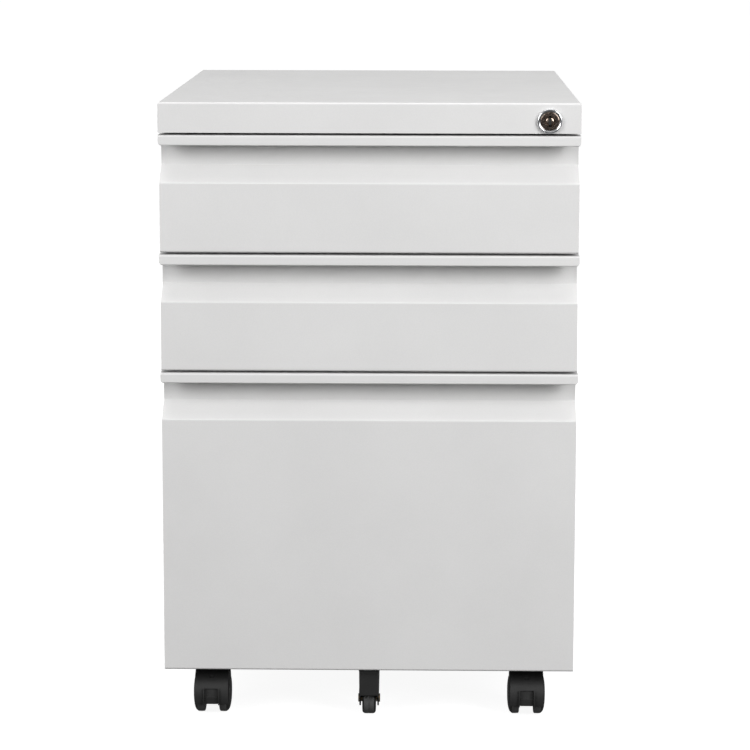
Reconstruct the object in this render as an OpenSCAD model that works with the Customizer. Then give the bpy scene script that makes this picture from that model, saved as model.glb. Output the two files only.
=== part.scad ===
// Three-drawer steel pedestal on casters: two box drawers above a file drawer, a central lock and
// an anti-tip wheel under the file drawer. Millimetres, +Z up, front towards -Y, origin on the floor
// under the middle of the top cover.

/* [Cabinet] */
// Overall width, across the top cover
cabinet_w = 390; // [340:5:480]
// Depth from the drawer fronts to the back of the top cover
cabinet_d = 500; // [440:5:620]
// Height of the top surface above the floor
cabinet_h = 590; // [560:5:720]
// Thickness of the folded sheet
sheet_t = 1; // [0.8:0.1:1.3]
// Outside radius of a bend in the sheet
bend_r = 2; // [1.6:0.1:3]
// Height of the skirt round the top cover
skirt_h = 28.2; // [27:0.1:40]
// Width of the flanges that the side panels turn inwards
return_w = 15.5; // [14:0.5:22]
// Height of the flanges round the base pan
base_flange_h = 12; // [8:1:14]
// Gap between the top cover's skirt and the panels inside it
cover_gap = 0.5; // [0.3:0.1:1]

/* [Drawer fronts] */
// Height of each box drawer front
box_front_h = 109; // [100:1:125]
// Gap between neighbouring fronts
reveal = 2.2; // [1.5:0.1:4]
// Height of the file drawer front's lower edge above the floor
front_floor_gap = 51; // [51:1:60]
// Height of the pull lip
lip_h = 9.6; // [7:0.1:14]
// Depth of the finger recess
recess_d = 22.5; // [18:0.5:28]
// Drop from the top of a front to the foot of the recess wall
recess_drop = 29; // [24:0.5:32]
// Drop from the top of a front to the foot of the bevel
bevel_drop = 44.4; // [38:0.2:52]
// How far the pull lip stands past each end of the face
lip_overhang = 1; // [0:0.1:1.2]
// Gap between the closed fronts and the carcass
front_gap = 2.5; // [1.5:0.1:4]

/* [Drawers] */
// Height of the box drawer sides
box_side_h = 75; // [70:1:80]
// Height of the file drawer sides
file_side_h = 232; // [180:1:236]
// Height of the hanging rails above the file drawer sides
hanging_rail_h = 10; // [8:1:14]
// Height of a box tray's underside above the lower edge of its front
box_tray_lift = 12; // [8:1:16]
// Height of the file tray's underside above the lower edge of its front
file_tray_lift = 15; // [15:1:20]
// Gap between the tray's back and the back panel
tray_rear_gap = 12; // [6:1:30]

/* [Slides] */
// Thickness of a slide, from upright to tray
slide_t = 12.7; // [12.7:0.1:14]
// Height of the box drawer slides
box_slide_h = 35; // [35:1:40]
// Height of the file drawer slides
file_slide_h = 45; // [45:1:50]
// Sheet thickness of the slide members
slide_sheet_t = 1.2; // [1:0.1:1.3]
// Length of a box slide that stays engaged when its drawer is fully open
box_overlap = 100; // [80:5:160]
// Diameter of the slide balls
ball_d = 3; // [2.5:0.1:3.2]

/* [Lock] */
// Distance of the lock from the right end of the cover
lock_inset = 29; // [28:0.5:34]
// Drop from the top surface to the lock's centre
lock_drop = 16.6; // [14:0.05:17]
// Outer diameter of the lock's bezel
bezel_d = 23; // [20:0.5:25]
// Outer diameter of the lock's barrel
barrel_d = 18.8; // [16:0.2:20]
// Diameter of the plug's face
plug_face_d = 17.5; // [14:0.5:18]
// Diameter of the plug inside the barrel
plug_d = 13; // [10:0.5:14]
// Distance between the plug's centre and the cam's pin
cam_throw = 9; // [8:0.5:10]
// Diameter of the cam's pin
cam_pin_d = 5; // [4:0.5:6]

/* [Casters] */
// Height of the casters, from the floor to the base pan
caster_h = 50; // [50:1:60]
// Diameter of the caster wheels
wheel_d = 40; // [36:1:42]
// Distance from the cabinet's middle to the casters' swivel axes, across
caster_x = 151; // [120:1:155]
// Distance from the carcass edges to the swivel axes, front to back
caster_inset = 26; // [22:1:40]
// Distance from the swivel axis back to the wheel axle
caster_trail = 17; // [15:0.5:20]
// Distance between the two wheels of a caster
wheel_gap = 14; // [13:0.5:18]
// Width of a caster wheel's tread
tread_w = 7.5; // [6:0.5:10]
// Diameter of the kingpins
kingpin_d = 8; // [6:0.5:8]
// Diameter of the caster axles
axle_d = 6; // [5:0.5:7]

/* [Fifth wheel] */
// Diameter of the anti-tip wheel
fifth_d = 30; // [26:1:32]
// Width of the anti-tip wheel
fifth_w = 13; // [10:0.5:16]
// Gap between the anti-tip wheel and the floor
fifth_floor_gap = 0.5; // [0.5:0.5:4]
// Distance from the front plane back to the anti-tip wheel's axle
fifth_inset = 30; // [26:1:34]
// Diameter of the anti-tip wheel's axle
fifth_axle_d = 5; // [4:0.5:6]
// Gap between the anti-tip wheel and each ear of its bracket
fifth_side_gap = 1.3; // [0.6:0.1:2]

/* [Hidden] */

// Fits and small clearances
run_fit = 0.05;      // radial clearance of a turning fit
air = 0.3;           // gap between pieces that pass each other
weld_gap = 0.02;     // gap between a tab and the sheet that it is welded to
eps = 0.01;          // overlap that keeps a cut clean
round_fn = 48;
ball_fn = 24;
bend_steps = 5;

half_t = sheet_t / 2;
bend_mid_r = bend_r - half_t;

// Planes of the cabinet
front_y = -cabinet_d / 2;
rear_y = cabinet_d / 2;
pan_d = recess_d + 2 * sheet_t;
carcass_front_y = front_y + pan_d + front_gap;
carcass_rear_y = rear_y - sheet_t - cover_gap;
side_x = cabinet_w / 2 - sheet_t - cover_gap;
side_in_x = side_x - sheet_t;
upright_x = side_x - return_w;
tray_x = upright_x - slide_t;
base_z = caster_h;
cover_in_z = cabinet_h - sheet_t;
skirt_z = cabinet_h - skirt_h;
face_w = cabinet_w - 2 * lip_overhang;
back_y = carcass_rear_y - 2 * sheet_t;
tray_front_y = front_y + pan_d;
tray_rear_y = back_y - tray_rear_gap;

// Tops of the three fronts, then heights and trays, in the order top, middle, file
front_tops = [
    skirt_z - reveal,
    skirt_z - 2 * reveal - box_front_h,
    skirt_z - 3 * reveal - 2 * box_front_h
];
front_hs = [box_front_h, box_front_h, front_tops[2] - front_floor_gap];
tray_lifts = [box_tray_lift, box_tray_lift, file_tray_lift];
tray_zs = [for (i = [0:2]) front_tops[i] - front_hs[i] + tray_lifts[i]];
side_hs = [box_side_h, box_side_h, file_side_h];

// Slides: a standard length in steps of 50 that fits the carcass
slide_front_gap = 16;
slide_rear_gap = 3;
slide_step = 50;
slide_front_y = carcass_front_y + slide_front_gap;
slide_len = slide_step * floor((back_y - slide_rear_gap - slide_front_y) / slide_step);
slide_mid_y = slide_front_y + slide_len / 2;
box_slide_lift = 35;
file_slide_lift = 84;
slide_zs = [tray_zs[0] + box_slide_lift, tray_zs[1] + box_slide_lift, tray_zs[2] + file_slide_lift];
ball_gap = ball_d + 2 * air;
cage_t = 0.8;
cage_end_gap = 4;
ball_edge = 0.6;     // sheet left between a ball's hole and the edge of its cage

// Uprights
upright_w = 30;
brim_w = 10;
upright_end_inset = 22;
upright_top_gap = 4;
upright_ys = [slide_front_y + upright_end_inset, slide_front_y + slide_len - upright_end_inset];
upright_z = base_z + base_flange_h + cover_gap;
upright_top_z = front_tops[0] - upright_top_gap;

// Top front rail
rail_setback = 9;
rail_w = 14;
rail_foot_gap = 4;
rail_drop = skirt_h - rail_foot_gap;

// Lock: the stack from the front plane back
lock_x = cabinet_w / 2 - lock_inset;
lock_z = cabinet_h - lock_drop;
bezel_out = 3;
plug_recess = 0.8;
plug_head_t = 1.6;
barrel_len = 22;
plug_end = barrel_len + air;
cam_t = 2;
cam_gap = 1.7;
cam_front = plug_end + cam_gap;
cam_hub_d = 13;
cam_arm_w = 8;
cam_screw_head_d = 9;
cam_screw_head_t = 1.5;
cam_screw_d = 3;
cam_screw_reach = 3;
cam_tang_w = 6;
nut_af = 21;
nut_t = 4;
key_w = 2;
key_h = 9;
key_depth = 14;
cam_rest_angle = 45;
cam_slot_play = 0.4;

// Lock bar, its hooks and the catches on the trays
bar_t = 2;
bar_w = 10;
bar_edge_gap = 1.5;  // from the flange's edge and from the lock's middle to the bar
bar_x = upright_x + bar_edge_gap;
bar_gap = 0.5;
bar_y = carcass_front_y + sheet_t + bar_gap;
bar_foot = 28;
bar_head_h = 11;
bar_head_x = lock_x + bar_edge_gap;
catch_h = 8;
catch_drop = 7;
catch_out = 9.7;
catch_t = 2;
catch_gap = 1.5;
hook_h = 8;
hook_gap = 2;
hook_side_gap = 2.7;
hook_inner_x = tray_x + hook_side_gap;
catch_zs = [for (i = [0:2]) tray_zs[i] + side_hs[i] - catch_drop - catch_h];
guide_h = 12;
foot_guide_lift = 22;
guide_zs = [
    (catch_zs[0] + catch_zs[1]) / 2,
    (catch_zs[1] + catch_zs[2]) / 2,
    (catch_zs[2] + base_z) / 2,
    base_z + bar_foot + foot_guide_lift
];

// Screws and bumpers
screw_d = 4;
screw_head_d = 8;
screw_head_t = 2.2;
screw_len = 8;
hole_play = 0.2;
bumper_d = 8;
bumper_t = front_gap - air;
bumper_end_inset = 22;

// Casters
wheel_r = wheel_d / 2;
plate_w = 38;
plate_t = 2;
plate_hole_pitch = 26;
hood_air = 1.5;
hood_t = 2;
hood_r = wheel_r + hood_air + hood_t;
hood_w = 32;
hood_floor_gap = 12.5;
web_gap = 0.5;
web_w = wheel_gap - 2 * web_gap;
swivel_boss_d = 20;
swivel_gap = 0.5;
kingpin_len = 20;
pin_pocket_gap = 1.2;
pin_pocket_z = base_z - plate_t - kingpin_len - pin_pocket_gap;
pin_pocket_floor = 1.5;
boss_lap = 1.3;
dome_h = 3.5;
dome_flat_r = 5;
tread_round = 1.2;
brake_slot_w = 13;
brake_slot_h = 15.5;
brake_slot_d = 4;
notch_w = 5;
notch_h = 3;
notch_d = 1.5;
notch_angle = 50;
axle_end_gap = 2;
caster_ys = [carcass_front_y + caster_inset, carcass_rear_y - caster_inset];

// Fifth wheel
fifth_r = fifth_d / 2;
fifth_y = front_y + fifth_inset;
fifth_z = fifth_floor_gap + fifth_r;
bracket_t = 1.5;
bracket_w = fifth_w + 2 * (fifth_side_gap + bracket_t);
bracket_brim = 2.2;
bracket_top_w = bracket_w + 2 * bracket_brim;
bracket_setback = 8;
bracket_front_y = front_y + bracket_setback;
bracket_nose = 2;
bracket_plate_z = 24;
ear_r = 7.5;
axle_head_d = 8;
axle_head_t = 1.2;
axle_collar_d = 7.4;

// ---- Sheet outlines ----

function unit(v) = v / norm(v);

// The points of an arc that rounds corner b of the path a, b, c
function arc_corner(a, b, c, r) =
    let (
        u = unit(a - b),
        v = unit(c - b),
        half_angle = acos(max(-1, min(1, u * v))) / 2,
        room = 0.45 * min(norm(a - b), norm(c - b)),
        tangent = min(r / tan(half_angle), room),
        r_fit = tangent * tan(half_angle),
        centre = b + unit(u + v) * r_fit / sin(half_angle),
        first = b + u * tangent - centre,
        last = b + v * tangent - centre,
        start_angle = atan2(first[1], first[0]),
        raw_turn = atan2(last[1], last[0]) - start_angle,
        turn = raw_turn > 180 ? raw_turn - 360 : raw_turn < -180 ? raw_turn + 360 : raw_turn
    )
    [for (k = [0:bend_steps])
        let (angle = start_angle + turn * k / bend_steps)
        centre + r_fit * [cos(angle), sin(angle)]];

// A path with every inner corner rounded to the middle radius of a bend
function bent(path, r) = [
    path[0],
    for (i = [1:len(path) - 2]) each arc_corner(path[i - 1], path[i], path[i + 1], r),
    path[len(path) - 1]
];

function left_of(d) = [-d[1], d[0]];

// The mitred sideways direction at point i of a path
function side_at(path, i) =
    let (
        last = len(path) - 1,
        before = left_of(unit(path[max(i, 1)] - path[max(i, 1) - 1])),
        after = left_of(unit(path[min(i + 1, last)] - path[min(i, last - 1)]))
    )
    (before + after) / (1 + before * after);

// The outline of a strip of thickness t along the middle line path
function strip(path, t) = concat(
    [for (i = [0:len(path) - 1]) path[i] + side_at(path, i) * t / 2],
    [for (i = [len(path) - 1:-1:0]) path[i] - side_at(path, i) * t / 2]
);

module folded(path, r, t) {
    polygon(strip(bent(path, r), t));
}

// Extrusions of a Y-Z outline across, of an X-Z outline back, and of an X-Y outline up
module across(w) {
    translate([-w / 2, 0, 0]) rotate([90, 0, 90]) linear_extrude(w) children();
}

module lengthwise(y0, y1) {
    translate([0, y1, 0]) rotate([90, 0, 0]) linear_extrude(y1 - y0) children();
}

module mirrored() {
    children();
    mirror([1, 0, 0]) children();
}

module drill_y(d, x, y0, y1, z) {
    translate([x, y0, z]) rotate([-90, 0, 0]) cylinder(d = d, h = y1 - y0, $fn = round_fn);
}

module drill_x(d, x0, x1, y, z) {
    translate([x0, y, z]) rotate([0, 90, 0]) cylinder(d = d, h = x1 - x0, $fn = round_fn);
}

// A block whose top edges are rounded, standing on z = 0
module crowned_outline(w, h, r) {
    corner = [w / 2, h];
    side = [w / 2, 0];
    polygon([
        [-w / 2, 0],
        each arc_corner([-w / 2, 0], [-w / 2, h], corner, r),
        each arc_corner([-w / 2, h], corner, side, r),
        side
    ]);
}

module crowned_block(w, d, h, r) {
    intersection() {
        across(w) crowned_outline(d, h, r);
        lengthwise(-d / 2, d / 2) crowned_outline(w, h, r);
    }
}

// A pan of folded sheet, open downwards, standing on z = 0
module pan(w, d, h) {
    difference() {
        crowned_block(w, d, h, bend_r);
        translate([0, 0, -sheet_t])
            crowned_block(w - 2 * sheet_t, d - 2 * sheet_t, h, bend_r - sheet_t);
    }
}

// ---- Carcass ----

cover_lip_d = 12;

module top_cover() {
    color("gainsboro") difference() {
        union() {
            translate([0, 0, skirt_z]) pan(cabinet_w, cabinet_d, skirt_h);
            translate([-cabinet_w / 2 + half_t, front_y + half_t, skirt_z])
                cube([cabinet_w - sheet_t, cover_lip_d, sheet_t]);
        }
        drill_y(barrel_d + hole_play, lock_x, front_y - 1, front_y + sheet_t + 1, lock_z);
    }
}

module side_panel() {
    web_x = side_x - half_t;
    flange_x = side_x - return_w;
    path = [
        [flange_x, carcass_front_y + half_t],
        [web_x, carcass_front_y + half_t],
        [web_x, carcass_rear_y - half_t],
        [flange_x, carcass_rear_y - half_t]
    ];
    difference() {
        translate([0, 0, base_z]) linear_extrude(cover_in_z - cover_gap - base_z)
            folded(path, bend_mid_r, sheet_t);
        translate([flange_x - 1, carcass_front_y - 1, front_tops[0]])
            cube([return_w - bend_r + 1, sheet_t + 2, cover_in_z]);
        back_screw_holes();
    }
}

module left_side_panel() {
    color("gainsboro") mirror([1, 0, 0]) side_panel();
}

module right_side_panel() {
    color("gainsboro") side_panel();
}

module back_panel() {
    w = 2 * (side_x - bend_r);
    z0 = base_z + sheet_t + cover_gap;
    color("gainsboro") difference() {
        translate([-w / 2, back_y, z0]) cube([w, sheet_t, cover_in_z - z0]);
        mirrored() back_screw_holes();
    }
}

// The screws that hold the back panel to the side panels' rear flanges
back_screw_foot = 40;
back_screw_top_gap = 20;
back_screw_rows = 4;
back_screw_run = skirt_z - base_z - back_screw_foot - back_screw_top_gap;
back_screw_zs = [
    for (k = [0:back_screw_rows - 1]) base_z + back_screw_foot + k * back_screw_run / (back_screw_rows - 1)
];

module back_screw_holes() {
    for (z = back_screw_zs)
        drill_y(screw_d + hole_play, upright_x + return_w / 2, back_y - 1, carcass_rear_y + 1, z);
}

module screw_y(x, y, z) {
    drill_y(screw_head_d, x, y, y + screw_head_t, z);
    drill_y(screw_d, x, y - screw_len, y + eps, z);
}

module back_screws() {
    color("silver") mirrored() for (z = back_screw_zs)
        screw_y(upright_x + return_w / 2, carcass_rear_y, z);
}

module base_pan() {
    pan_front_y = carcass_front_y + bend_r;
    d = back_y - pan_front_y;
    mid_y = (back_y + pan_front_y) / 2;
    color("gainsboro") difference() {
        translate([0, mid_y, base_z + base_flange_h]) mirror([0, 0, 1])
            pan(2 * side_in_x, d, base_flange_h);
        at_casters() plate_holes(base_z - 1, base_z + sheet_t + 1);
    }
}

module top_front_rail() {
    y0 = carcass_front_y + rail_setback + half_t;
    y1 = y0 + rail_w;
    z1 = cover_in_z - half_t;
    z0 = z1 - rail_drop;
    path = [[y1, z1], [y0, z1], [y0, z0], [y1, z0]];
    color("gainsboro") across(2 * side_in_x) folded(path, bend_mid_r, sheet_t);
}

module slide_upright(y) {
    wall_x = side_in_x - half_t;
    web_x = upright_x + half_t;
    a = upright_w / 2;
    b = a + brim_w;
    path = [
        [wall_x, y - b], [wall_x, y - a], [web_x, y - a],
        [web_x, y + a], [wall_x, y + a], [wall_x, y + b]
    ];
    translate([0, 0, upright_z]) linear_extrude(upright_top_z - upright_z)
        folded(path, bend_mid_r, sheet_t);
}

module slide_uprights() {
    color("lightgray") mirrored() for (y = upright_ys) slide_upright(y);
}

module front_bumpers() {
    x = upright_x + return_w / 2;
    y = carcass_front_y - bumper_t;
    color("dimgray") mirrored() for (i = [0:2]) {
        foot_z = front_tops[i] - front_hs[i];
        for (z = [foot_z + bumper_end_inset, front_tops[i] - bumper_end_inset])
            drill_y(bumper_d, x, y, carcass_front_y, z);
    }
}

// ---- Drawer slides ----

// A slide member: a C section whose web is at x = web_x, opening towards dir, with the outer faces of
// its flanges at +-reach, flanges of the given depth, and a lip turned in at each flange's edge
module channel(web_x, dir, reach, depth, lip) {
    t = slide_sheet_t;
    w = web_x + dir * t / 2;
    e = web_x + dir * (depth - t / 2);
    f = reach - t / 2;
    path = lip > 0
        ? [[e, reach - lip], [e, f], [w, f], [w, -f], [e, -f], [e, -reach + lip]]
        : [[web_x + dir * depth, f], [w, f], [w, -f], [web_x + dir * depth, -f]];
    folded(path, t, t);
}

// Places an outline drawn from the upright towards the tray at a slide's height, on both sides
module slide_pair(i, y0, y1) {
    mirrored() translate([upright_x, 0, slide_zs[i]]) mirror([1, 0, 0])
        lengthwise(y0, y1) children();
}

box_reach = box_slide_h / 2;
file_reach = file_slide_h / 2;
box_inner_reach = box_reach - slide_sheet_t - ball_gap;
file_middle_reach = file_reach - slide_sheet_t - ball_gap;
file_inner_reach = file_middle_reach - slide_sheet_t - ball_gap;
slide_lip = 3.6;
outer_depth = 9;
cage_web_gap = 0.9;
member_gap = 0.7;
middle_web_gap = 0.8;
cage_side_gap = 1;

// Depths of the nested members of a file slide, measured from the upright
outer_cage_x = slide_sheet_t + cage_web_gap;
middle_x = outer_cage_x + cage_t + member_gap;
middle_depth = slide_t - slide_sheet_t - middle_web_gap - middle_x;
inner_cage_x = middle_x + slide_sheet_t + member_gap;
file_inner_depth = slide_t - inner_cage_x - cage_t - member_gap;
box_inner_depth = slide_t - outer_cage_x - cage_t - cage_side_gap;

module slide_outer(i, reach) {
    slide_pair(i, slide_front_y, slide_front_y + slide_len)
        channel(0, 1, reach, outer_depth, slide_lip);
}

module box_slide_outers() {
    color("silver") for (i = [0, 1]) slide_outer(i, box_reach);
}

module file_slide_outers() {
    color("silver") slide_outer(2, file_reach);
}

module file_slide_middles() {
    color("silver") slide_pair(2, slide_front_y, slide_front_y + slide_len)
        channel(middle_x, 1, file_middle_reach, middle_depth, slide_lip);
}

module slide_inners(i, reach, depth) {
    color("silver") slide_pair(i, slide_front_y, slide_front_y + slide_len)
        channel(slide_t, -1, reach, depth, 0);
}

module top_slide_inners() {
    slide_inners(0, box_inner_reach, box_inner_depth);
}

module middle_slide_inners() {
    slide_inners(1, box_inner_reach, box_inner_depth);
}

module file_slide_inners() {
    slide_inners(2, file_inner_reach, file_inner_depth);
}

// A pair of ball cages: a C of thin sheet and two rows of balls in its holes, at height ball_z above
// and below the slide's middle
module ball_cages(i, web_x, ball_z, depth, cage_len, ball_count) {
    pitch = (cage_len - 2 * ball_d) / (ball_count - 1);
    ball_x = web_x + depth - ball_d / 2 - ball_edge;
    y0 = slide_mid_y - cage_len / 2;
    path = [[web_x + depth, ball_z], [web_x + cage_t / 2, ball_z],
        [web_x + cage_t / 2, -ball_z], [web_x + depth, -ball_z]];
    color("goldenrod") mirrored() translate([upright_x, 0, slide_zs[i]]) mirror([1, 0, 0]) {
        difference() {
            lengthwise(y0, y0 + cage_len) folded(path, cage_t, cage_t);
            for (k = [0:ball_count - 1]) translate([ball_x, y0 + ball_d + k * pitch, -ball_z - 2])
                cylinder(d = ball_d + 2 * run_fit, h = 2 * ball_z + 4, $fn = ball_fn);
        }
        for (k = [0:ball_count - 1], s = [-1, 1])
            translate([ball_x, y0 + ball_d + k * pitch, s * ball_z]) sphere(d = ball_d, $fn = ball_fn);
    }
}

box_cage_len = box_overlap - cage_end_gap;
file_cage_len = slide_len / 2 - cage_end_gap;
box_cage_depth = 5.4;
outer_cage_depth = 5.4;
inner_cage_depth = middle_x + middle_depth - slide_sheet_t - air - inner_cage_x;
box_ball_z = box_reach - slide_sheet_t - ball_gap / 2;
outer_ball_z = file_reach - slide_sheet_t - ball_gap / 2;
inner_ball_z = file_middle_reach - slide_sheet_t - ball_gap / 2;

module top_ball_cages() {
    ball_cages(0, outer_cage_x, box_ball_z, box_cage_depth, box_cage_len, 5);
}

module middle_ball_cages() {
    ball_cages(1, outer_cage_x, box_ball_z, box_cage_depth, box_cage_len, 5);
}

module file_outer_cages() {
    ball_cages(2, outer_cage_x, outer_ball_z, outer_cage_depth, file_cage_len, 8);
}

module file_inner_cages() {
    ball_cages(2, inner_cage_x, inner_ball_z, inner_cage_depth, file_cage_len, 8);
}

// ---- Drawers ----

hem_h = 5;
hem_pitch = sheet_t + 0.5;
lip_corner_r = 3;
inner_flange_w = 12;
tray_hem_w = 6;
back_flange_w = 10;

// The outer front: one sheet folded into face, bevel, recess wall, top and hemmed pull lip, with end
// flanges behind the face
module drawer_front(i) {
    h = front_hs[i];
    lip_path = [
        [half_t + hem_pitch, -lip_h + hem_h],
        [half_t + hem_pitch, -lip_h + half_t],
        [half_t, -lip_h + half_t],
        [half_t, -half_t],
        [recess_d + half_t, -half_t],
        [recess_d + half_t, -recess_drop + half_t]
    ];
    face_path = [
        [recess_d + half_t, -half_t - bend_r],
        [recess_d + half_t, -recess_drop],
        [half_t, -bevel_drop],
        [half_t, -h + half_t],
        [pan_d, -h + half_t]
    ];
    flange = [
        [half_t, -h + half_t], [pan_d, -h + half_t], [pan_d, -recess_drop],
        [recess_d + half_t, -recess_drop], [half_t, -bevel_drop]
    ];
    color("gainsboro") translate([0, front_y, front_tops[i]]) {
        difference() {
            across(cabinet_w) folded(lip_path, bend_mid_r, sheet_t);
            mirrored() lip_corner();
            mirrored() translate([face_w / 2, recess_d - eps, -recess_drop])
                cube([lip_overhang + 1, pan_d, recess_drop + 1]);
        }
        across(face_w) folded(face_path, bend_mid_r, sheet_t);
        mirrored() translate([face_w / 2 - sheet_t, 0, 0])
            rotate([90, 0, 90]) linear_extrude(sheet_t) polygon(flange);
    }
}

// The cut that rounds the lower end corner of a pull lip
module lip_corner() {
    translate([cabinet_w / 2 - lip_corner_r, -1, -lip_h + lip_corner_r]) difference() {
        translate([0, 0, -lip_corner_r - 1])
            cube([lip_corner_r + 1, hem_pitch + sheet_t + 2, lip_corner_r + 1]);
        drill_y(2 * lip_corner_r, 0, -1, hem_pitch + sheet_t + 3, 0);
    }
}

module top_drawer_front() {
    drawer_front(0);
}

module middle_drawer_front() {
    drawer_front(1);
}

module file_drawer_front() {
    drawer_front(2);
}

// The inner front: closes the hollow behind the face, and carries the tray
module inner_front(i) {
    w = face_w - 2 * sheet_t;
    z0 = -front_hs[i] + sheet_t + half_t;
    y1 = pan_d - half_t;
    path = [[y1 - inner_flange_w, z0], [y1, z0], [y1, -sheet_t]];
    color("whitesmoke") translate([0, front_y, front_tops[i]]) across(w)
        folded(path, bend_mid_r, sheet_t);
}

module top_inner_front() {
    inner_front(0);
}

module middle_inner_front() {
    inner_front(1);
}

module file_inner_front() {
    inner_front(2);
}

// The tray: bottom and sides in one sheet, with the lock's catch, a tab of its own, on the right side
module tray(i) {
    x = tray_x - half_t;
    z0 = tray_zs[i] + half_t;
    z1 = tray_zs[i] + side_hs[i] - half_t;
    hem_x = tray_x - tray_hem_w;
    path = [[-hem_x, z1], [-x, z1], [-x, z0], [x, z0], [x, z1], [hem_x, z1]];
    color("whitesmoke") {
        lengthwise(tray_front_y, tray_rear_y) folded(path, bend_mid_r, sheet_t);
        translate([tray_x + weld_gap, bar_y + bar_t + catch_gap, catch_zs[i]])
            cube([catch_out - weld_gap, catch_t, catch_h]);
    }
}

module top_tray() {
    tray(0);
}

module middle_tray() {
    tray(1);
}

module file_tray() {
    tray(2);
}

module drawer_back(i) {
    z0 = tray_zs[i] + sheet_t + half_t;
    z1 = tray_zs[i] + side_hs[i] - sheet_t - half_t;
    y1 = tray_rear_y - half_t;
    path = [[y1 - back_flange_w, z0], [y1, z0], [y1, z1], [y1 - back_flange_w, z1]];
    color("whitesmoke") across(2 * (tray_x - bend_r)) folded(path, bend_mid_r, sheet_t);
}

module top_drawer_back() {
    drawer_back(0);
}

module middle_drawer_back() {
    drawer_back(1);
}

module file_drawer_back() {
    drawer_back(2);
}

module hanging_rails() {
    z = tray_zs[2] + file_side_h + half_t;
    hem_x = tray_x - tray_hem_w + half_t;
    path = [[tray_x, z], [hem_x, z], [hem_x, z - half_t + hanging_rail_h]];
    color("silver") mirrored() lengthwise(tray_front_y, tray_rear_y)
        folded(path, bend_mid_r, sheet_t);
}

// ---- Lock ----

module lock_ring(profile) {
    translate([lock_x, front_y, lock_z]) rotate([-90, 0, 0]) rotate_extrude($fn = round_fn)
        polygon(profile);
}

module lock_housing() {
    bezel_round = 1.2;
    seat_air = 0.1;
    r = bezel_d / 2;
    bore = plug_d / 2 + run_fit;
    seat = plug_face_d / 2 + seat_air;
    seat_y = -bezel_out + plug_recess + plug_head_t + seat_air;
    color("lightsteelblue") lock_ring([
        [bore, seat_y], [seat, seat_y], [seat, -bezel_out],
        each arc_corner([seat, -bezel_out], [r, -bezel_out], [r, 0], bezel_round),
        [r, 0], [barrel_d / 2, 0], [barrel_d / 2, barrel_len], [bore, barrel_len]
    ]);
}

module lock_plug() {
    face_y = -bezel_out + plug_recess;
    head_y = face_y + plug_head_t;
    screw_hole_y = front_y + plug_end - cam_screw_reach - 1;
    color("darkgoldenrod") difference() {
        union() {
            lock_ring([
                [0, face_y], [plug_face_d / 2, face_y], [plug_face_d / 2, head_y],
                [plug_d / 2, head_y], [plug_d / 2, plug_end], [0, plug_end]
            ]);
            translate([lock_x - cam_tang_w / 2, front_y + plug_end - 1, lock_z - cam_tang_w / 2])
                cube([cam_tang_w, cam_front + cam_t - plug_end + 1, cam_tang_w]);
        }
        translate([lock_x - key_w / 2, front_y + face_y - 1, lock_z - key_h / 2])
            cube([key_w, key_depth + 1, key_h]);
        drill_y(cam_screw_d, lock_x, screw_hole_y, front_y + cam_front + cam_t + 1, lock_z);
    }
}

module lock_nut() {
    color("silver") difference() {
        translate([lock_x, front_y + sheet_t, lock_z]) rotate([-90, 0, 0])
            cylinder(d = nut_af / cos(30), h = nut_t, $fn = 6);
        drill_y(barrel_d, lock_x, front_y, front_y + nut_t + 2, lock_z);
    }
}

cam_pin_x = lock_x + cam_throw * cos(cam_rest_angle);
cam_pin_z = lock_z + cam_throw * sin(cam_rest_angle);

module lock_cam() {
    y0 = front_y + cam_front;
    color("silver") difference() {
        union() {
            drill_y(cam_hub_d, lock_x, y0, y0 + cam_t, lock_z);
            translate([lock_x, y0, lock_z]) rotate([0, -cam_rest_angle, 0])
                translate([0, 0, -cam_arm_w / 2]) cube([cam_throw, cam_t, cam_arm_w]);
            drill_y(cam_arm_w, cam_pin_x, y0, y0 + cam_t, cam_pin_z);
            drill_y(cam_pin_d, cam_pin_x, y0, bar_y + bar_t + 1, cam_pin_z);
        }
        translate([lock_x - cam_tang_w / 2, y0 - 1, lock_z - cam_tang_w / 2])
            cube([cam_tang_w, cam_t + 2, cam_tang_w]);
    }
}

module lock_cam_screw() {
    y0 = front_y + cam_front + cam_t;
    color("silver") {
        drill_y(cam_screw_head_d, lock_x, y0, y0 + cam_screw_head_t, lock_z);
        drill_y(cam_screw_d, lock_x, front_y + plug_end - cam_screw_reach, y0 + eps, lock_z);
    }
}

module lock_bar() {
    foot_z = base_z + bar_foot;
    slot_w = 2 * cam_throw * (1 - cos(cam_rest_angle)) + cam_pin_d + 1;
    slot_h = cam_pin_d + 2 * cam_slot_play;
    color("silver") difference() {
        union() {
            translate([bar_x, bar_y, foot_z])
                cube([bar_w, bar_t, cam_pin_z + bar_head_h / 2 - foot_z]);
            translate([bar_head_x, bar_y, cam_pin_z - bar_head_h / 2])
                cube([bar_x - bar_head_x + 1, bar_t, bar_head_h]);
            for (z = catch_zs) translate([hook_inner_x, bar_y, z + catch_h + hook_gap])
                cube([bar_x - hook_inner_x + 1, bar_t, hook_h]);
        }
        translate([cam_pin_x - cam_pin_d / 2 - 0.5, bar_y - 1, cam_pin_z - slot_h / 2])
            cube([slot_w, bar_t + 2, slot_h]);
    }
}

// Keepers that hold the bar behind the right side panel's front flange
module lock_bar_guides() {
    plate_y = bar_y + bar_t + air;
    x0 = bar_x - air - sheet_t;
    color("silver") for (z = guide_zs) translate([0, 0, z]) {
        translate([x0, plate_y, 0]) cube([side_in_x - x0, sheet_t, guide_h]);
        translate([x0, carcass_front_y + sheet_t, 0])
            cube([sheet_t, plate_y - carcass_front_y, guide_h]);
    }
}

// ---- Casters ----

module at_casters() {
    for (y = caster_ys) mirrored() translate([caster_x, y, 0]) children();
}

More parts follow.
